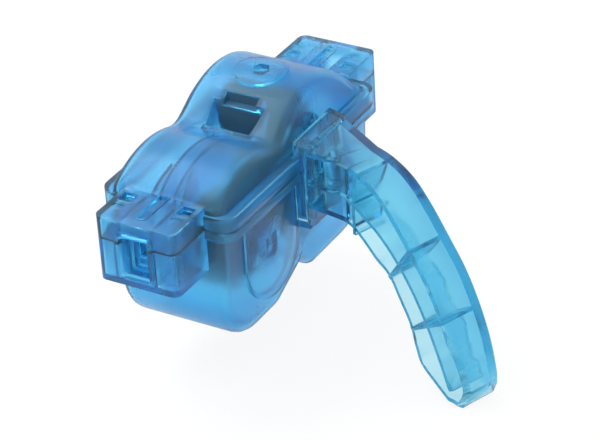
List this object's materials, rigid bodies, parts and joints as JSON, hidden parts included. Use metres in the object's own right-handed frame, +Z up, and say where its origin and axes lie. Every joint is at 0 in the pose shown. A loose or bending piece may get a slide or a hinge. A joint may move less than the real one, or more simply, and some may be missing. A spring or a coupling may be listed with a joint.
{
  "type": "bicycle chain cleaner",
  "caption": "Translucent two-part chain bath with brush wheels inside, chain ports at both ends, a pouring hopper and a curved side handle.",
  "frame": {"origin": "middle of the chain's path through the body, halfway between the two ports, at the chain's centre height", "axes": "+Y runs along the chain from the front port box to the rear one, +X points to the handle, +Z is up"},
  "size_m": [0.1466, 0.1646, 0.1074],
  "materials": {
    "shell": "frosted translucent blue, moulded",
    "wiper": "translucent blue, moulded",
    "grip": "clear translucent light blue, moulded",
    "hub": "dull black, moulded",
    "bristle": "black nylon strands",
    "axle": "drawn steel pin"
  },
  "bodies": {
    "tank_body": {"tank": "shell", "front_wiper": "wiper", "rear_wiper": "wiper"},
    "cover_body": {"cover": "shell"},
    "handle_body": {"handle": "grip"},
    "front_brush": {"front_brush_core": "hub", "front_brush_bristles": "bristle", "front_brush_axle": "axle", "front_brush_left_disc": "hub", "front_brush_right_disc": "hub"},
    "rear_brush": {"rear_brush_core": "hub", "rear_brush_bristles": "bristle", "rear_brush_axle": "axle", "rear_brush_left_disc": "hub", "rear_brush_right_disc": "hub"},
    "upper_brush": {"upper_brush_core": "hub", "upper_brush_bristles": "bristle", "upper_brush_axle": "axle", "upper_brush_left_disc": "hub", "upper_brush_right_disc": "hub"}
  },
  "joints": [
    {"name": "cover_lift", "type": "slide", "parent": "tank_body", "child": "cover_body", "axis": [0, 0, 1], "range_m": [0, 0.06]},
    {"name": "handle_lift", "type": "slide", "parent": "cover_body", "child": "handle_body", "axis": [0, 0, 1], "range_m": [0, 0.045]},
    {"name": "front_brush_spin", "type": "hinge", "parent": "tank_body", "child": "front_brush", "pos_m": [0, -0.024, -0.0215], "axis": [1, 0, 0], "continuous": true},
    {"name": "rear_brush_spin", "type": "hinge", "parent": "tank_body", "child": "rear_brush", "pos_m": [0, 0.022, -0.024], "axis": [1, 0, 0], "continuous": true},
    {"name": "upper_brush_spin", "type": "hinge", "parent": "cover_body", "child": "upper_brush", "pos_m": [0, 0.016, 0.014], "axis": [1, 0, 0], "continuous": true}
  ]
}
